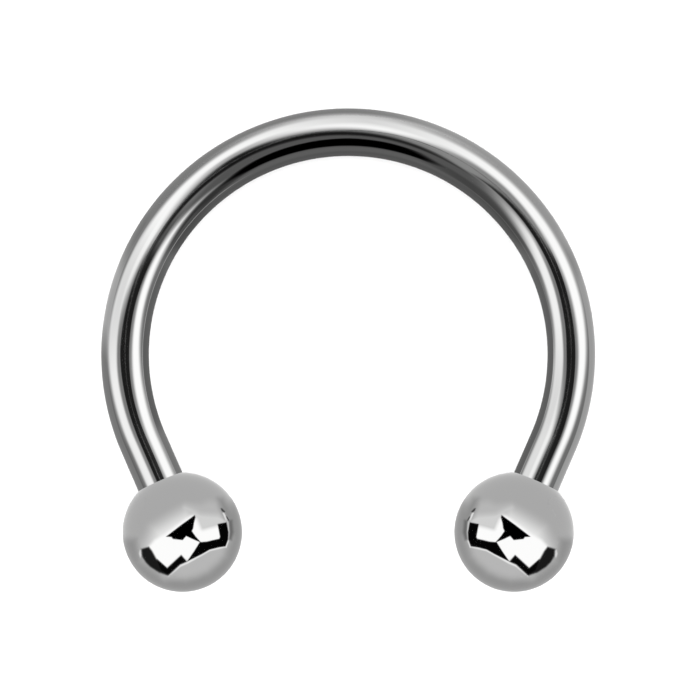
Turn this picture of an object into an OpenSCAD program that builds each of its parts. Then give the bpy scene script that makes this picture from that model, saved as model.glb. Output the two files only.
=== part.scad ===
// Horseshoe barbell: a round bar bent into an open curve, with a screw-on ball on each end.
// It lies on its side, on both balls and on the crown of the curve, as it rests by itself.
// Millimetres. +Z is up from the surface, and +Y points to the crown.

/* [Bar] */
// Thickness of the bar, which is its gauge
bar_d = 1.2; // [1:0.1:1.6]
// Width inside the curve
inner_d = 10; // [8:0.5:12]
// Turn that each end of the curve runs past its half circle, in degrees
end_turn = 23.503; // [12:0.001:30]
// Straight run from the end of the curve to the middle of the ball
straight_run = 2.45; // [2.2:0.05:3]

/* [Balls] */
// Diameter of each ball
ball_d = 3; // [3:0.1:4]
// Distance from the middle of the ball to the seat that the bar's shoulder meets
seat_z = 1.25; // [1.2:0.01:1.3]
// Gap between the bar and the ball, and round the thread
clearance = 0.02; // [0.01:0.005:0.04]

/* [Thread] */
// Step from the bar down to the crest of the thread
shoulder = 0.05; // [0.04:0.01:0.1]
// Advance of the thread in one turn
pitch = 0.25; // [0.2:0.05:0.3]
// Depth of the groove
groove = 0.13; // [0.08:0.01:0.15]
// Length of the threaded stub
stub_l = 1.4; // [1.2:0.05:1.5]
// Spare depth of the tapped hole past the stub, before its drill point
spare = 0.15; // [0.1:0.05:0.3]

/* [Hidden] */

LEFT = -1;
RIGHT = 1;
STEEL = [0.66, 0.66, 0.65];

bar_r = bar_d / 2;
ball_r = ball_d / 2;
curve_r = (inner_d + bar_d) / 2;

// Thread: its radii, its flats and flank along one pitch, and the steps of its facets in one turn
crest_r = bar_r - shoulder;
root_r = crest_r - groove;
root_flat = pitch / 4;
crest_flat = pitch / 8;
flank = (pitch - root_flat - crest_flat) / 2;
turn_steps = 16;
tip_chamfer = 0.12;

// Tapped hole of the ball
hole_r = crest_r + clearance;
hole_l = stub_l + spare;
drill_point_angle = 118;
drill_point_l = hole_r / tan(drill_point_angle / 2);

// Height of the middle of a ball on the flat curve, seen square on, from the middle of the curve
ball_y = -curve_r * sin(end_turn) - straight_run * cos(end_turn);

// Lying pose: the balls are thicker than the bar, so the curve leans down to its crown
lean = asin((ball_r - bar_r) / (curve_r - ball_y));
centre_z = bar_r + curve_r * sin(lean);
top_y = curve_r * cos(lean) + bar_r;
bottom_y = ball_y * cos(lean) - ball_r;

// One row of the thread's outline at step k: [radius, height] along one pitch
function thread_outline() = [
    [root_r, 0],
    [root_r, root_flat],
    [crest_r, root_flat + flank],
    [crest_r, root_flat + flank + crest_flat]
];

function thread_point(k, edge) =
    [edge[0] * cos(360 * k / turn_steps), edge[0] * sin(360 * k / turn_steps), edge[1] + pitch * k / turn_steps];

// Two triangles across the corners a, b, c, d
function two_triangles(a, b, c, d) = [[a, b, c], [a, c, d]];

// Right-hand thread of the given length along +Z, solid to its axis, with a spiral face at each end
module thread_core(length) {
    outline = thread_outline();
    edges = len(outline);
    rows = ceil((length / pitch + 1) * turn_steps);
    points = [
        for (k = [0:rows]) for (edge = outline) thread_point(k, edge),
        [0, 0, pitch / 2],
        [0, 0, pitch * (rows / turn_steps + 0.5)]
    ];
    low_axis = edges * (rows + 1);
    high_axis = low_axis + 1;
    flanks = [
        for (k = [0:rows - 1]) for (e = [0:edges - 2])
            each two_triangles(edges * k + e, edges * k + e + 1, edges * (k + 1) + e + 1, edges * (k + 1) + e)
    ];
    roots = [
        for (k = [0:rows - turn_steps - 1])
            each two_triangles(edges * k + edges - 1, edges * (k + turn_steps),
                               edges * (k + turn_steps + 1), edges * (k + 1) + edges - 1)
    ];
    low_rim = concat(
        [for (e = [0:edges - 1]) e],
        [for (k = [turn_steps:-1:1]) edges * k]
    );
    high_rim = concat(
        [for (e = [edges - 1:-1:0]) edges * rows + e],
        [for (k = [rows - turn_steps:rows - 1]) edges * k + edges - 1]
    );
    low_end = [for (i = [0:len(low_rim) - 1]) [low_axis, low_rim[(i + 1) % len(low_rim)], low_rim[i]]];
    high_end = [for (i = [0:len(high_rim) - 1]) [high_axis, high_rim[(i + 1) % len(high_rim)], high_rim[i]]];
    polyhedron(points, concat(flanks, roots, low_end, high_end));
}

// Threaded stub from z = 0 to stub_l, reaching back into the bar, with a chamfered tip
module threaded_stub() {
    buried = 2 * pitch;
    intersection() {
        translate([0, 0, -buried])
            thread_core(stub_l + buried + pitch);
        union() {
            translate([0, 0, -buried])
                cylinder(h = buried + stub_l - tip_chamfer, r = bar_r, $fn = 64);
            translate([0, 0, stub_l - tip_chamfer])
                cylinder(h = tip_chamfer, r1 = crest_r + clearance, r2 = root_r, $fn = 64);
        }
    }
}

// Turns its children, which start at angle 0 round the curve, to the end on the given side.
// It turns and doesn't mirror them, so both threads are right-hand.
module on_side(side) {
    rotate([0, side == LEFT ? 180 : 0, 0])
        rotate([0, 0, -end_turn])
            children();
}

// Puts its children at angle 0 round the curve, with +Z along the straight run and away from the bar
module along_end() {
    translate([curve_r, 0, 0])
        rotate([90, 0, 0])
            children();
}

// Lays the flat curve on the surface, with the origin under the middle of the whole part
module lying() {
    translate([0, -(top_y + bottom_y) / 2, centre_z])
        rotate([-lean, 0, 0])
            children();
}

// Each half runs from its end to the crown, where the sine and cosine of end_turn have to be exact in
// six digits for the halves to meet and merge. They are at 23.503 degrees.
module curved_bar() {
    plain_l = straight_run - seat_z - clearance;
    color(STEEL)
        lying()
            union()
                for (side = [LEFT, RIGHT])
                    on_side(side) {
                        rotate_extrude(angle = 90 + end_turn, $fn = 128)
                            translate([curve_r, 0])
                                circle(r = bar_r, $fn = 64);
                        along_end() {
                            cylinder(h = plain_l, r = bar_r, $fn = 64);
                            translate([0, 0, plain_l])
                                threaded_stub();
                        }
                    }
}

module ball(side) {
    color(STEEL)
        lying()
            on_side(side)
                along_end()
                    translate([0, 0, straight_run])
                        difference() {
                            sphere(r = ball_r, $fn = 96);
                            translate([0, 0, -ball_d])
                                cylinder(h = ball_d - seat_z, r = bar_r + clearance, $fn = 64);
                            translate([0, 0, -seat_z - clearance])
                                cylinder(h = hole_l + clearance, r = hole_r, $fn = 64);
                            translate([0, 0, hole_l - seat_z])
                                cylinder(h = drill_point_l, r1 = hole_r, r2 = 0, $fn = 64);
                        }
}

curved_bar();
ball(LEFT);  // ball_left
ball(RIGHT);  // ball_right
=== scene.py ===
# Horseshoe barbell: a mirror-polished steel bar bent into an open curve, with a screw-on ball on each
# end. It lies on a pale table, and the camera looks straight down on it. All lengths are in metres.
import math

import bmesh
import bpy
import numpy as np
from mathutils import Matrix, Vector


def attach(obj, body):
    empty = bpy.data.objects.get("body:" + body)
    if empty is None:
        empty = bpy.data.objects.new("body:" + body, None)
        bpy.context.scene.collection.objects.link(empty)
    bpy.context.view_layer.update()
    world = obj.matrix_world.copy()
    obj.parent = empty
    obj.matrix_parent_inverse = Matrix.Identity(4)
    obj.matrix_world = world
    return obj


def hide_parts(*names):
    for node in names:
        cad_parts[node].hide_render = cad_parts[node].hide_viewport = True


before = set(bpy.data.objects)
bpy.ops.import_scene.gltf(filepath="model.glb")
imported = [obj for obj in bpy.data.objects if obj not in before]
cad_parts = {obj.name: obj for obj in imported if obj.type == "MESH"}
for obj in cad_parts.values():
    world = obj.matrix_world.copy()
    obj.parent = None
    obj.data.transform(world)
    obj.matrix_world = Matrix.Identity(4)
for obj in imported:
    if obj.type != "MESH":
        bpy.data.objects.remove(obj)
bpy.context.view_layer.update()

MM = 0.001
LEFT = -1
RIGHT = 1

# Driving sizes, which are the solids' own
BAR_R = 0.6 * MM
CURVE_R = 5.6 * MM
END_TURN = math.radians(23.503)
STRAIGHT_RUN = 2.45 * MM
BALL_R = 1.5 * MM
SEAT_Z = 1.25 * MM
CLEARANCE = 0.02 * MM
SHOULDER = 0.05 * MM
PITCH = 0.25 * MM
GROOVE = 0.13 * MM
STUB_L = 1.4 * MM
SPARE = 0.15 * MM
TIP_CHAMFER = 0.12 * MM
DRILL_POINT = math.radians(118)

# The thread's outline in shares of its pitch: its flats, its flanks, and where a column of points meets it
ROOT_FLAT = 0.25
CREST_FLAT = 0.125
FLANK = (1 - ROOT_FLAT - CREST_FLAT) / 2
THREAD_MARKS = (0, 0.08, 0.17, 0.25, 0.35, 0.46, 0.5625, 0.62, 0.6875, 0.79, 0.9)

# Fine shapes that only the visual model has
MOUTH_GAP = 0.005 * MM
MOUTH_ROUND = 0.015 * MM
SHOULDER_ROUND = 0.02 * MM
RUN_OUT = (0.08 * MM, 0.3 * MM)
INNER_GROOVE = 0.045 * MM
ENTRY_CHAMFER = 0.0228 * MM

# How finely the meshes are divided, and where their points merge and their edges stay sharp
TUBE_SIDES = 96
ARC_STEPS = 360
STRAIGHT_STEPS = 6
BEFORE_SHOULDER = 0.03 * MM
BALL_ROWS = 90
ROUND_STEPS = 4
QUARTER_TURNS = [math.pi / 2 * step / ROUND_STEPS for step in range(ROUND_STEPS + 1)]
MERGE = 0.00002 * MM
SHARP_ANGLE = math.radians(32)

# Places that follow from the driving sizes, as in the part's source
ball_drop = CURVE_R * math.sin(END_TURN) + STRAIGHT_RUN * math.cos(END_TURN)
lean = math.asin((BALL_R - BAR_R) / (CURVE_R + ball_drop))
centre_z = BAR_R + CURVE_R * math.sin(lean)
top_y = CURVE_R * math.cos(lean) + BAR_R
bottom_y = -ball_drop * math.cos(lean) - BALL_R
crest_r = BAR_R - SHOULDER
root_r = crest_r - GROOVE
hole_r = crest_r + CLEARANCE
hole_l = STUB_L + SPARE
plain_l = STRAIGHT_RUN - SEAT_Z - CLEARANCE
lying = Matrix.Translation((0, -(top_y + bottom_y) / 2, centre_z)) @ Matrix.Rotation(-lean, 4, "X")


def end_matrix(side):
    """The place of one end of the curve, with +Z along the straight run and away from the bar."""
    turned = Matrix.Rotation(math.pi if side == LEFT else 0, 4, "Y")
    to_end = Matrix.Rotation(-END_TURN, 4, "Z") @ Matrix.Translation((CURVE_R, 0, 0))
    return lying @ turned @ to_end @ Matrix.Rotation(math.pi / 2, 4, "X")


def smooth_step(low, high, value):
    """Rises from 0 at low to 1 at high, with no corner at either."""
    t = np.clip((value - low) / (high - low), 0, 1)
    return t * t * (3 - 2 * t)


def thread_depth(z, angle):
    """Depth of the thread's groove at a height and an angle, from 0 at the crest to 1 at the root."""
    phase = (z / PITCH - angle / (2 * math.pi)) % 1
    if phase < ROOT_FLAT:
        return 1
    if phase < ROOT_FLAT + FLANK:
        return 1 - (phase - ROOT_FLAT) / FLANK
    if phase < ROOT_FLAT + FLANK + CREST_FLAT:
        return 0
    return (phase - ROOT_FLAT - FLANK - CREST_FLAT) / FLANK


def thread_heights(angle, low, high):
    """Heights from low to high where a column at this angle has a point, as many at any angle."""
    # Two turns more at each end, because the angle shifts the marks by up to one turn either way
    first = math.floor(low / PITCH) - 2
    last = math.ceil(high / PITCH) + 2
    heights = []
    for turn in range(first, last):
        heights += [PITCH * (turn + mark + angle / (2 * math.pi)) for mark in THREAD_MARKS]
    return [min(max(z, low), high) for z in heights]


def skin(name, columns, cut_rows):
    """
    A closed mesh from columns of points that run side by side round an axis. Points that meet are merged. The
    rows that are cut and not polished get the second material. Each point's grain gives its distance along
    the column and its place round the axis, for the polishing marks.
    """
    height = len(columns[0])
    points = [tuple(p) for column in columns for p in column]
    grain = []
    for c, column in enumerate(columns):
        turn = 2 * math.pi * c / (len(columns) - 1)
        distance = 0
        for before, here in zip([column[0], *column], column):
            distance += (here - before).length
            grain += [distance / BAR_R, math.cos(turn), math.sin(turn)]
    faces = []
    cut = []
    for c in range(len(columns) - 1):
        for r in range(height - 1):
            low = c * height + r
            faces.append((low, low + 1, low + height + 1, low + height))
            cut.append(int(r in cut_rows))
    mesh = bpy.data.meshes.new(name)
    mesh.from_pydata(points, [], faces)
    mesh.attributes.new("grain", "FLOAT_VECTOR", "POINT").data.foreach_set("vector", grain)
    mesh.polygons.foreach_set("material_index", cut)
    piece = bpy.data.objects.new(name, mesh)
    bpy.context.scene.collection.objects.link(piece)
    tidy_mesh(mesh)
    return piece


def tidy_mesh(mesh):
    """Merges the points that meet, turns all faces outwards, and shades the mesh smooth between its edges."""
    work = bmesh.new()
    work.from_mesh(mesh)
    bmesh.ops.remove_doubles(work, verts=work.verts, dist=MERGE)
    bmesh.ops.dissolve_degenerate(work, edges=work.edges, dist=MERGE)
    bmesh.ops.recalc_face_normals(work, faces=work.faces)
    if work.calc_volume(signed=True) < 0:
        bmesh.ops.reverse_faces(work, faces=work.faces)
    for face in work.faces:
        face.smooth = True
    work.to_mesh(mesh)
    work.free()
    mesh.set_sharp_from_angle(angle=SHARP_ANGLE)


def stub_radius(z, angle):
    """Outside radius of the stub, whose groove runs out at the shoulder and whose tip is chamfered."""
    fade = smooth_step(*RUN_OUT, z)
    thread = crest_r - GROOVE * thread_depth(z, angle) * fade
    chamfer = crest_r + (STUB_L - TIP_CHAMFER - z) * (crest_r - root_r) / TIP_CHAMFER
    return min(thread, max(chamfer, root_r))


def stub_column(side, angle):
    """Points of one end along one line, from the middle of the stub's tip to the shoulder's rim."""
    place = end_matrix(side) @ Matrix.Translation((0, 0, plain_l))
    across = Vector((math.cos(angle), math.sin(angle), 0))
    along = Vector((0, 0, 1))
    line = [along * STUB_L]
    for z in reversed(thread_heights(angle, 0, STUB_L)):
        line.append(across * stub_radius(z, angle) + along * z)
    for turn in QUARTER_TURNS:
        r = BAR_R - SHOULDER_ROUND * (1 - math.sin(turn))
        line.append(across * r + along * -SHOULDER_ROUND * (1 - math.cos(turn)))
    return [place @ p for p in line]


def tube_column(turn):
    """Points along the bar on one line, from its right shoulder to its left one."""
    straight_steps = [plain_l * step / STRAIGHT_STEPS for step in range(1, STRAIGHT_STEPS)]
    # A point close to the shoulder keeps the shading of its rounding off the straight run
    straight_steps.append(plain_l - BEFORE_SHOULDER)
    line = []
    for s in reversed(straight_steps):
        p = Vector((BAR_R * math.cos(turn), BAR_R * math.sin(turn), s))
        line.append(end_matrix(RIGHT) @ p)
    for step in range(ARC_STEPS + 1):
        theta = -END_TURN + (math.pi + 2 * END_TURN) * step / ARC_STEPS
        r = CURVE_R + BAR_R * math.cos(turn)
        line.append(lying @ Vector((r * math.cos(theta), r * math.sin(theta), BAR_R * math.sin(turn))))
    for s in straight_steps:
        p = Vector((BAR_R * math.cos(-turn), BAR_R * math.sin(-turn), s))
        line.append(end_matrix(LEFT) @ p)
    return line


def make_bar():
    """The bar with both its stubs. Only the threads are cut."""
    columns = []
    for side in range(TUBE_SIDES + 1):
        turn = 2 * math.pi * side / TUBE_SIDES
        left_end = list(reversed(stub_column(LEFT, -turn)))
        columns.append(stub_column(RIGHT, turn) + tube_column(turn) + left_end)
    last_row = len(columns[0]) - 2
    thread = range(len(thread_heights(0, 0, STUB_L)))
    cut_rows = {*thread, *(last_row - row for row in thread)}
    return skin("polished_bar", columns, cut_rows)


def ball_column(place, angle):
    """Points of a ball along one line, from its drill point out of the hole and round to its far side."""
    across = Vector((math.cos(angle), math.sin(angle), 0))
    along = Vector((0, 0, 1))
    bottom = hole_l - SEAT_Z
    line = [along * (bottom + hole_r / math.tan(DRILL_POINT / 2))]
    for z in reversed(thread_heights(angle, -SEAT_Z, bottom)):
        open_end = smooth_step(bottom, bottom - PITCH, z)
        thread = hole_r + INNER_GROOVE * thread_depth(z, angle) * open_end
        chamfer = hole_r + ENTRY_CHAMFER - (z + SEAT_Z)
        line.append(across * max(thread, chamfer) + along * z)
    mouth_r = BAR_R + MOUTH_GAP
    line.append(across * mouth_r + along * -SEAT_Z)
    mouth_angle = math.asin((mouth_r + MOUTH_ROUND) / BALL_R)
    mouth_z = -math.cos(mouth_angle) * BALL_R
    for turn in QUARTER_TURNS:
        r = mouth_r + MOUTH_ROUND * (1 - math.cos(turn))
        line.append(across * r + along * (mouth_z + MOUTH_ROUND * (1 - math.sin(turn))))
    for row in range(1, BALL_ROWS + 1):
        turn = mouth_angle + (math.pi - mouth_angle) * row / BALL_ROWS
        line.append(across * BALL_R * math.sin(turn) - along * BALL_R * math.cos(turn))
    return [place @ p for p in line]


def make_ball(side, name):
    """A ball, cut from its drill point to the wall of the recess that the bar's shoulder enters."""
    place = end_matrix(side) @ Matrix.Translation((0, 0, STRAIGHT_RUN))
    columns = [ball_column(place, 2 * math.pi * c / TUBE_SIDES) for c in range(TUBE_SIDES + 1)]
    seat_and_wall = 2
    cut_rows = range(len(thread_heights(0, -SEAT_Z, hole_l - SEAT_Z)) + seat_and_wall)
    return skin(name, columns, cut_rows)


# Materials

STEEL_GREY = (0.45, 0.45, 0.448, 1)
# Darker than the polished steel as painted shade for the thread's grooves; the thread's dullness comes from
# its roughness
SHADED_THREAD_GREY = (0.28, 0.28, 0.278, 1)
# Near black: painted shade for the depth of the ball's tapped hole, since the pieces don't shade their own
# reflections
PAINTED_HOLE_SHADE_GREY = (0.06, 0.06, 0.06, 1)

# Each finish has its roughness, which smears vary between two shares of it, and the depth of its marks
BAR_FINISH = (0.05, 0.0004 * MM)
BALL_FINISH = (0.04, 0.0001 * MM)
SMEARED = (0.7, 1.4)
CUT_ROUGHNESS = (0.3, 0.55)
TEAR_DEPTH = 0.002 * MM

# Each noise has its cells to a metre, or to the bar's radius for the marks, and its detail
SMEAR_NOISE = (900, 4)
TEAR_NOISE = (20000, 8)
MARK_NOISE = (9, 6)
MARK_STRETCH = 0.04

# Most of a noise lies between these values
NOISE_LOW = 0.35
NOISE_HIGH = 0.7


def node(tree, kind, **values):
    """A new node with these settings."""
    made = tree.nodes.new(kind)
    for key, value in values.items():
        setattr(made, key, value)
    return made


def noise(tree, vector, scale, detail):
    """The socket of a noise over a vector. It varies round 0.5."""
    made = node(tree, "ShaderNodeTexNoise")
    made.inputs["Scale"].default_value = scale
    made.inputs["Detail"].default_value = detail
    tree.links.new(vector, made.inputs["Vector"])
    return made.outputs["Fac"]


def spread(tree, value, low, high):
    """The socket of a noise spread over low to high."""
    made = node(tree, "ShaderNodeMapRange")
    made.inputs["From Min"].default_value = NOISE_LOW
    made.inputs["From Max"].default_value = NOISE_HIGH
    made.inputs["To Min"].default_value = low
    made.inputs["To Max"].default_value = high
    tree.links.new(value, made.inputs["Value"])
    return made.outputs["Result"]


def bump(tree, height, depth):
    """The socket of the normals that a noise of this depth gives."""
    made = node(tree, "ShaderNodeBump")
    made.inputs["Distance"].default_value = depth
    tree.links.new(height, made.inputs["Height"])
    return made.outputs["Normal"]


def steel(name, grey):
    """Bare steel of this grey: its material, its surface and the places on it."""
    material = bpy.data.materials.new(name)
    material.use_nodes = True
    surface = material.node_tree.nodes["Principled BSDF"]
    surface.inputs["Base Color"].default_value = grey
    surface.inputs["Metallic"].default_value = 1
    places = node(material.node_tree, "ShaderNodeTexCoord").outputs["Object"]
    return material, surface, places


def polished_steel(name, roughness, mark_depth):
    """Mirror-polished steel with faint smears in its gloss, and hairline polishing marks along its grain."""
    material, surface, places = steel(name, STEEL_GREY)
    tree = material.node_tree
    smears = noise(tree, places, *SMEAR_NOISE)
    gloss = spread(tree, smears, *(roughness * share for share in SMEARED))
    tree.links.new(gloss, surface.inputs["Roughness"])
    grain = node(tree, "ShaderNodeAttribute", attribute_name="grain")
    stretch = node(tree, "ShaderNodeVectorMath", operation="MULTIPLY")
    stretch.inputs[1].default_value = (MARK_STRETCH, 1, 1)
    tree.links.new(grain.outputs["Vector"], stretch.inputs[0])
    marks = noise(tree, stretch.outputs["Vector"], *MARK_NOISE)
    tree.links.new(bump(tree, marks, mark_depth), surface.inputs["Normal"])
    return material


def shaded_cut_steel(name, grey):
    """Steel as the tap or die left it, dull and torn, in a grey darkened as painted shade for grooves and
    holes.
    """
    material, surface, places = steel(name, grey)
    tree = material.node_tree
    tears = noise(tree, places, *TEAR_NOISE)
    tree.links.new(spread(tree, tears, *CUT_ROUGHNESS), surface.inputs["Roughness"])
    tree.links.new(bump(tree, tears, TEAR_DEPTH), surface.inputs["Normal"])
    return material


# Studio: a pale table, and a tent of light round each piece that only its mirror finish sees. The bar also
# has a lit floor.

WHITE = 255
HALF_TURN = 180
TENT_R = 400 * MM
TENT_RINGS = 190
TENT_SPOKES = 500

# Degrees that a soft edge counts as one share of the radius
SOFT_DEGREES = 200

# Rings of the lit floor with how much each is lit, its greys at degrees round the curve, and the grey of the
# tent behind it, which it adds to
FLOOR_H = 0.02 * MM
FLOOR_RINGS = [(6.25 * MM, 1), (13 * MM, 1), (28 * MM, 0)]
FLOOR_SPOKES = 360
FLOOR_GREYS = [(-180, 118), (-135, 118), (-120, 92), (-60, 92), (-48, 152), (18, 152), (32, 92), (146, 92),
               (160, 162), (172, 160), (180, 118)]
SHADE_GREY = 92

TABLE_SIZE = 1.1
TABLE_WHITE = (0.93, 0.93, 0.93, 1)
TABLE_ROUGHNESS = 0.9
SKY_WHITE = (1, 1, 1, 1)
SKY_STRENGTH = 2.05


def linear(grey):
    """Light of a grey from 0 to 255 on the screen, by the sRGB curve."""
    c = np.clip(grey / WHITE, 0, 1)
    return np.where(c <= 0.04045, c / 12.92, ((c + 0.055) / 1.055) ** 2.4)


def distance_inside(outline, x, y):
    """Distance of each point (x, y) from a closed outline, positive inside it."""
    inside = np.zeros(x.shape, bool)
    nearest = np.full(x.shape, np.inf)
    corners = np.array(outline, float)
    for (x1, y1), (x2, y2) in zip(corners, np.roll(corners, -1, axis=0)):
        dx, dy = x2 - x1, y2 - y1
        t = np.clip(((x - x1) * dx + (y - y1) * dy) / (dx * dx + dy * dy), 0, 1)
        nearest = np.minimum(nearest, np.hypot(x - x1 - t * dx, y - y1 - t * dy))
        if dy:
            inside ^= ((y1 > y) != (y2 > y)) & (x < (y - y1) * dx / dy + x1)
    return np.where(inside, nearest, -nearest)


def hang(grey, cards, places):
    """
    Hangs cards in a tent: each has an outline, its grey on the screen and the width of its soft edge. Each of
    the places gives all points of the tent once more, for a tent that a piece shows more than once.
    """
    for outline, card_grey, soft in cards:
        inside = np.max([distance_inside(outline, x, y) for x, y in places], axis=0)
        cover = smooth_step(-soft / 2, soft / 2, inside)
        grey = grey * (1 - cover) + card_grey * cover
    return grey


# Cards round the left ball. Their points are where the ball shows them to the camera, in shares of its
# radius from its middle. The right ball has them mirrored.
BALL_BASE_GREY = 168
BALL_CARDS = [
    # Dim far side of the room, low and to the right
    ([(0.86, 0.75), (0.78, 0.3), (0.76, -0.1), (0.6, -0.5), (0.25, -0.74), (-0.3, -0.8), (-0.7, -0.5),
      (-0.78, -0.12), (-1.2, -0.08), (-1.2, -1.2), (1.2, -1.2), (1.2, 0.8)], 142, 0.18),
    # Table top
    ([(-0.3, -0.5), (0.1, -0.3), (0.8, -0.1), (0.7, -0.4), (0.42, -0.66), (0.05, -0.78), (-0.3, -0.72)],
     182, 0.26),
    # Glow of the main light
    ([(-0.58, -0.24), (-0.46, 0.04), (-0.2, 0.2), (0.05, 0.34), (0.2, 0.28), (0.3, 0.0), (0.0, -0.4),
      (-0.4, -0.4)], 238, 0.44),
    # Main light
    ([(-0.57, -0.25), (-0.46, -0.13), (-0.3, -0.04), (-0.06, 0.14), (0.19, 0.31), (0.28, 0.24),
      (0.345, 0.074), (0.6, 0.15), (0.73, 0.19), (0.7, -0.18), (0.3, -0.3), (0.09, -0.48), (-0.02, -0.42),
      (-0.25, -0.63), (-0.44, -0.5)], 252, 0.08),
    # Window pane
    ([(0.06, 0.46), (0.192, 0.316), (0.275, 0.233), (0.344, 0.074), (0.6, 0.143), (0.7, 0.2),
      (0.64, 0.36), (0.57, 0.5), (0.44, 0.52), (0.3, 0.46)], 182, 0.18),
    ([(0.04, 0.41), (0.192, 0.316), (0.275, 0.233), (0.344, 0.074), (0.6, 0.143), (0.72, 0.19),
      (0.6, 0.28), (0.3, 0.3), (0.14, 0.38)], 208, 0.16),
    ([(0.192, 0.316), (0.275, 0.233), (0.344, 0.074), (0.6, 0.143), (0.72, 0.19), (0.6, 0.24), (0.34, 0.26)],
     208, 0.035),
    ([(0.6, 0.56), (0.65, 0.4), (0.74, 0.22), (0.85, 0.18), (0.78, 0.42), (0.68, 0.56)], 138, 0.18),
    # Bright edges of the boards
    ([(-0.24, -0.70), (-0.03, -0.50), (0.09, -0.45), (0.33, -0.33), (0.46, -0.27), (0.72, -0.21),
      (0.735, -0.25), (0.46, -0.315), (0.33, -0.39), (0.095, -0.52), (-0.03, -0.575), (-0.235, -0.745)],
     235, 0.03),
    ([(-0.71, -0.3), (-0.725, -0.36), (-0.7, -0.43), (-0.68, -0.4), (-0.69, -0.3)], 214, 0.03),
    ([(0.69, 0.34), (0.72, 0.28), (0.745, 0.2), (0.725, 0.2), (0.7, 0.25), (0.67, 0.32)], 224, 0.02),
    ([(0.75, 0.22), (0.775, 0.15), (0.79, 0.0), (0.775, -0.15), (0.735, -0.26), (0.72, -0.25), (0.75, -0.12),
      (0.76, 0.1)], 232, 0.025),
    ([(0.775, 0.2), (0.79, 0.0), (0.775, -0.12), (0.82, -0.13), (0.85, 0.0), (0.83, 0.2)], 104, 0.07),
    # Boards
    ([(-0.27, -0.074), (-0.029, 0.112), (0.207, 0.283), (0.218, 0.247), (0.192, 0.15), (0.18, 0.067),
      (0.158, 0.019), (0.215, -0.064), (0.309, -0.17), (0.16, -0.108), (0.065, -0.062), (0.005, -0.13),
      (-0.155, -0.112), (-0.182, -0.078)], 0, 0.02),
    ([(0.29, -0.168), (0.413, -0.157), (0.5, -0.135), (0.615, -0.11), (0.63, -0.078), (0.59, 0.135),
      (0.736, 0.165), (0.77, 0.0), (0.762, -0.126), (0.72, -0.235), (0.606, -0.252), (0.454, -0.29),
      (0.33, -0.362), (0.08, -0.488), (0.195, -0.32)], 4, 0.02),
    ([(-0.68, -0.282), (-0.56, -0.245), (-0.508, -0.31), (-0.433, -0.447), (-0.252, -0.6), (-0.018, -0.385),
      (0.07, -0.49), (-0.038, -0.538), (-0.235, -0.722), (-0.39, -0.668), (-0.53, -0.58), (-0.61, -0.5),
      (-0.67, -0.4)], 26, 0.045),
    ([(-0.42, -0.45), (-0.252, -0.606), (-0.018, -0.39), (0.066, -0.488), (-0.038, -0.532), (-0.232, -0.71),
      (-0.36, -0.63)], 6, 0.03),
    # Window catches
    ([(0.64, 0.4), (0.665, 0.395), (0.715, 0.345), (0.695, 0.325), (0.655, 0.36)], 60, 0.025),
    ([(0.73, 0.265), (0.75, 0.255), (0.78, 0.2), (0.765, 0.19)], 50, 0.02),
]

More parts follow.
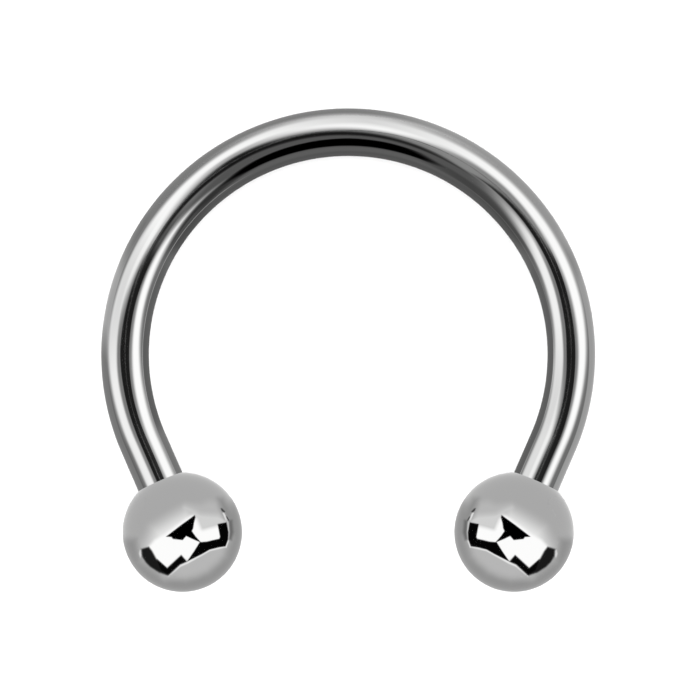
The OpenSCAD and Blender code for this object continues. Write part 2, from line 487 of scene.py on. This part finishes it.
# Cards round the bar. Their points are places on the bar that mirror them: degrees round the curve, from its
# right side to its left, and how far out from the bar's middle line, in shares of its radius.
BAR_BASE_GREY = 122
BAR_CARDS = [
    # Walls and the darker room below
    ([(18, 0.55), (76, 0.5), (78, 1.1), (18, 1.1)], 148, 0.12),
    ([(26, -0.7), (30, -0.5), (42, -0.32), (60, -0.22), (90, -0.12), (128, -0.12), (140, -0.3), (148, -0.58),
      (148, -0.72), (144, -1.1), (30, -1.1)], 82, 0.1),
    ([(62, -0.68), (125, -0.68), (128, -0.84), (60, -0.84)], 92, 0.1),
    ([(122, -0.5), (135, -0.53), (146, -0.57), (152, -0.66), (146, -0.76), (135, -0.74), (120, -0.66)],
     48, 0.1),
    ([(136, -0.64), (151, -0.65), (151, -1.1), (136, -1.1)], 76, 0.05),
    ([(66, -0.52), (50, -0.54), (38, -0.66), (32, -0.76), (38, -0.83), (48, -0.8), (66, -0.72)], 66, 0.1),
    # Shade behind the lit floor
    ([(-28, 0.73), (24, 0.73), (24, 1.1), (-28, 1.1)], SHADE_GREY, 0.06),
    ([(150, 0.73), (208, 0.73), (208, 1.1), (150, 1.1)], SHADE_GREY, 0.06),
    ([(-28, 0.6), (-2, 0.62), (6, 0.74), (-28, 0.74)], 108, 0.06),
    # Arches of light, outside and inside
    ([(-26, 0.34), (-16, 0.31), (0, 0.31), (8, 0.28), (16, 0.27), (24, 0.23), (30, 0.19), (45, 0.21),
      (55, 0.18), (64, 0.08), (72, 0.02), (90, 0.05), (100, 0.1), (110, 0.17), (117, 0.26), (122, 0.27),
      (130, 0.19), (140, 0.1), (150, 0.0), (160, 0.03), (168, 0.14), (174, 0.23), (180, 0.31), (190, 0.34),
      (206, 0.34), (206, 0.57), (195, 0.59), (188, 0.63), (180, 0.66), (172, 0.63), (160, 0.58), (150, 0.56),
      (130, 0.55), (110, 0.58), (90, 0.58), (70, 0.51), (50, 0.54), (30, 0.58), (24, 0.6), (12, 0.64),
      (0, 0.62), (-10, 0.58), (-26, 0.56)], 248, 0.2),
    ([(70, 0.68), (74, 0.26), (95, 0.32), (110, 0.68)], 208, 0.26),
    ([(160, 0.1), (168, 0.0), (180, 0.24), (181, 0.5), (177, 0.72), (162, 0.62)], 206, 0.14),
    ([(134, -0.46), (140, -0.41), (150, -0.36), (160, -0.34), (170, -0.34), (180, -0.33), (190, -0.32),
      (206, -0.29), (206, -0.54), (195, -0.57), (180, -0.56), (170, -0.54), (160, -0.53), (150, -0.52),
      (140, -0.49)], 252, 0.14),
    ([(-26, -0.2), (-16, -0.26), (-8, -0.36), (4, -0.38), (12, -0.34), (20, -0.29), (30, -0.23), (38, -0.26),
      (42, -0.34), (40, -0.44), (34, -0.52), (28, -0.58), (20, -0.6), (10, -0.63), (0, -0.64), (-10, -0.6),
      (-26, -0.56)], 240, 0.16),
    # Grey cloth round the camera
    ([(52, -0.2), (40, -0.02), (30, 0.08), (34, 0.15), (45, 0.17), (58, 0.13), (68, 0.0), (68, -0.1),
      (60, -0.24)], 134, 0.08),
    ([(152, 0.1), (164, 0.2), (168, 0.26), (172, 0.31), (176, 0.33), (184, 0.34), (192, 0.31), (206, 0.27),
      (206, 0.08), (180, 0.1), (164, 0.04), (152, 0.02)], 120, 0.1),
    ([(140, -0.02), (150, -0.05), (159, -0.04), (160, -0.24), (150, -0.28), (140, -0.26)], 80, 0.07),
    ([(152, 0.34), (166, 0.36), (178, 0.36), (180, 0.6), (152, 0.6)], 216, 0.12),
    # Camera
    ([(-27, 0.24), (-16, 0.21), (-10, 0.18), (0, 0.15), (10, 0.1), (20, 0.11), (30, 0.07), (40, -0.02),
      (48, -0.1), (54, -0.22), (50, -0.2), (40, -0.18), (30, -0.17), (20, -0.16), (10, -0.18), (0, -0.2),
      (-10, -0.14), (-18, -0.1), (-24, -0.07), (-28, 0.02)], 28, 0.035),
    ([(206, 0.12), (196, 0.13), (188, 0.16), (181, 0.2), (175, 0.14), (170, 0.08), (164, 0.0), (164, -0.2),
      (170, -0.19), (180, -0.17), (190, -0.15), (206, -0.16)], 28, 0.035),
    ([(62, -0.3), (70, -0.2), (80, -0.12), (90, -0.06), (100, 0.0), (110, 0.07), (117, 0.13), (122, 0.14),
      (130, 0.08), (140, 0.01), (150, -0.06), (146, -0.12), (132, -0.13), (115, -0.13), (100, -0.17),
      (88, -0.21), (78, -0.24), (68, -0.29)], 22, 0.09),
    ([(-30, -0.012), (36, -0.012), (36, 0.012), (-30, 0.012)], 26, 0.03),
    ([(36, -0.003), (150, -0.003), (150, 0.003), (36, 0.003)], 60, 0.014),
    # Black board
    ([(126, -0.55), (122, -0.45), (116, -0.39), (108, -0.36), (90, -0.345), (80, -0.37), (72, -0.42),
      (65, -0.58), (68, -0.66), (80, -0.65), (100, -0.635), (120, -0.635)], 0, 0.045),
]


def ball_greys(x, y):
    """Greys that the left ball shows at (x, y), in shares of its radius."""
    return hang(np.full(x.shape, BALL_BASE_GREY), BALL_CARDS, [(x, y)])


def in_shares(points):
    """Points of the bar with their degrees as shares, so that soft edges are as soft both ways."""
    return [(degrees / SOFT_DEGREES, share) for degrees, share in points]


def bar_greys(x, y):
    """
    Greys of the tent where a mirror ball shows it at (x, y). A place on the bar mirrors what lies on its side
    of the curve, and so does the place half a turn on, with inside and outside swapped.
    """
    # How far the ball's surface there faces towards the crown of the curve, which leans
    tilt_y = y * math.cos(lean) - np.sqrt(np.maximum(1 - x * x - y * y, 0)) * math.sin(lean)
    degrees = np.degrees(np.arctan2(tilt_y, x))
    out = np.hypot(x, tilt_y) * np.where(degrees < 0, -1, 1)
    degrees = degrees % HALF_TURN
    places = [(degrees, out), (degrees - HALF_TURN, -out), (degrees + HALF_TURN, -out)]
    cards = [(in_shares(outline), grey, soft) for outline, grey, soft in BAR_CARDS]
    return hang(np.full(x.shape, BAR_BASE_GREY), cards, in_shares(places))


def hang_cloth(name, piece, points, light):
    """
    A closed band of lit cloth that only this piece reflects. Its points come in rings, each with as many
    spokes, and every point has its light.
    """
    rings, spokes = light.shape
    faces = []
    for ring in range(rings - 1):
        for spoke in range(spokes):
            a = ring * spokes + spoke
            b = ring * spokes + (spoke + 1) % spokes
            faces.append((a, b, b + spokes, a + spokes))
    mesh = bpy.data.meshes.new(name)
    mesh.from_pydata(points.reshape(-1, 3).tolist(), [], faces)
    light = light.ravel().astype(np.float32)
    mesh.attributes.new("light", "FLOAT", "POINT").data.foreach_set("value", light)
    mesh.materials.append(lit_cloth())
    cloth = bpy.data.objects.new(name, mesh)
    bpy.context.scene.collection.objects.link(cloth)
    for rays in ("camera", "diffuse", "transmission", "volume_scatter", "shadow"):
        setattr(cloth, "visible_" + rays, False)
    mirrors = bpy.data.collections.new("mirrors_" + name)
    mirrors.objects.link(piece)
    cloth.light_linking.receiver_collection = mirrors


def light_tent(piece, centre, towards_camera, greys):
    """A tent round a piece. greys gives the grey of each place on a mirror ball that shows the tent."""
    right = (Vector((1, 0, 0)) - towards_camera * towards_camera.x).normalized()
    up = towards_camera.cross(right)
    share = np.linspace(0, 1, TENT_RINGS + 1)[:, None]
    turn = np.linspace(0, 2 * math.pi, TENT_SPOKES, endpoint=False)[None, :]
    x, y = share * np.cos(turn), share * np.sin(turn)
    # Light that a mirror sends to the camera comes in at twice the angle that the mirror is turned away by
    angle = 2 * np.arcsin(share)
    along = np.broadcast_arrays(np.sin(angle) * np.cos(turn), np.sin(angle) * np.sin(turn), np.cos(angle))
    directions = np.stack(along, axis=-1) @ np.array((right, up, towards_camera))
    light = linear(greys(x, y)) / STEEL_GREY[0]
    hang_cloth("tent_" + piece.name, piece, np.array(centre) + TENT_R * directions, light)


def light_floor(piece):
    """
    The lit floor outside the curve beside its legs. The tent is darker behind it, and that shows inside the
    curve, where the part shades the floor.
    """
    r, lit = np.array(FLOOR_RINGS).T[..., None]
    degrees = np.linspace(-HALF_TURN, HALF_TURN, FLOOR_SPOKES, endpoint=False)[None, :]
    x = r * np.cos(np.radians(degrees))
    y = r * np.sin(np.radians(degrees)) + lying.translation.y
    points = np.stack(np.broadcast_arrays(x, y, FLOOR_H), axis=-1)
    grey = np.interp(degrees, *np.array(FLOOR_GREYS).T)
    light = lit * (linear(grey) - linear(SHADE_GREY)) / STEEL_GREY[0]
    hang_cloth("floor_light", piece, points, light)


def lit_cloth():
    """Cloth as bright as its points' light, which adds to whatever is behind it."""
    material = bpy.data.materials.new("lit_cloth")
    material.use_nodes = True
    tree = material.node_tree
    tree.nodes.clear()
    level = node(tree, "ShaderNodeAttribute", attribute_name="light")
    glow = node(tree, "ShaderNodeEmission")
    clear = node(tree, "ShaderNodeBsdfTransparent")
    both = node(tree, "ShaderNodeAddShader")
    end = node(tree, "ShaderNodeOutputMaterial")
    tree.links.new(level.outputs["Fac"], glow.inputs["Strength"])
    tree.links.new(glow.outputs["Emission"], both.inputs[0])
    tree.links.new(clear.outputs["BSDF"], both.inputs[1])
    tree.links.new(both.outputs["Shader"], end.inputs["Surface"])
    material.cycles.emission_sampling = "NONE"
    return material


def make_table():
    """The pale table, which no piece mirrors."""
    bpy.ops.mesh.primitive_plane_add(size=TABLE_SIZE)
    table = bpy.context.object
    table.name = "table"
    material = bpy.data.materials.new("pale_table")
    material.use_nodes = True
    surface = material.node_tree.nodes["Principled BSDF"]
    surface.inputs["Base Color"].default_value = TABLE_WHITE
    surface.inputs["Roughness"].default_value = TABLE_ROUGHNESS
    surface.inputs["Specular IOR Level"].default_value = 0
    table.data.materials.append(material)
    table.visible_glossy = False


def make_sky():
    """An even white sky, which lights the table and which no piece mirrors."""
    world = bpy.data.worlds.new("studio")
    bpy.context.scene.world = world
    world.use_nodes = True
    background = world.node_tree.nodes["Background"]
    background.inputs["Color"].default_value = SKY_WHITE
    background.inputs["Strength"].default_value = SKY_STRENGTH
    world.cycles_visibility.glossy = False
    bpy.context.scene.view_settings.view_transform = "Standard"


# Camera: straight above, with a long lens. In the photo's 700 pixels the middle of the curve is here.
PHOTO_PX = 700
PX_PER_MM = 39.85
CURVE_PX = (348.2, 354.2)
CAMERA_H = 400 * MM
SENSOR_MM = 36
CLIP_START = 0.01
CLIP_END = 2


def make_camera():
    """The camera, placed so that the curve is where the photo has it."""
    data = bpy.data.cameras.new("camera")
    data.sensor_width = SENSOR_MM
    data.lens = SENSOR_MM * (CAMERA_H - centre_z) * PX_PER_MM / MM / PHOTO_PX
    data.clip_start = CLIP_START
    data.clip_end = CLIP_END
    placed = bpy.data.objects.new("camera", data)
    bpy.context.scene.collection.objects.link(placed)
    middle = lying.translation
    x = middle.x + (PHOTO_PX / 2 - CURVE_PX[0]) / PX_PER_MM * MM
    y = middle.y - (PHOTO_PX / 2 - CURVE_PX[1]) / PX_PER_MM * MM
    placed.location = (x, y, CAMERA_H)
    bpy.context.scene.camera = placed
    return placed


camera = make_camera()
make_sky()
make_table()

bar = make_bar()
bar.data.materials.append(polished_steel("polished_steel_bar", *BAR_FINISH))
bar.data.materials.append(shaded_cut_steel("cut_thread_painted_shade", SHADED_THREAD_GREY))
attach(bar, "bar")
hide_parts("curved_bar")
light_tent(bar, lying.translation, Vector((0, 0, 1)), bar_greys)
light_floor(bar)

balls = []
for side, node_name in ((LEFT, "ball_left"), (RIGHT, "ball_right")):
    middle = end_matrix(side) @ Vector((0, 0, STRAIGHT_RUN))
    ball = make_ball(side, "polished_" + node_name)
    ball.data.materials.append(polished_steel("polished_steel_" + node_name, *BALL_FINISH))
    # The hole, its seat and the recess wall get a near black grey, which paints the shade inside the hole
    ball.data.materials.append(shaded_cut_steel("painted_shade_hole_" + node_name, PAINTED_HOLE_SHADE_GREY))
    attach(ball, node_name)
    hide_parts(node_name)
    balls.append(ball)
    to_camera = (camera.location - middle).normalized()
    light_tent(ball, middle, to_camera, lambda x, y: ball_greys(-side * x, y))

for piece in (bar, *balls):
    # The tents stand in for the whole room, and the photo shows no piece in another
    piece.visible_glossy = False
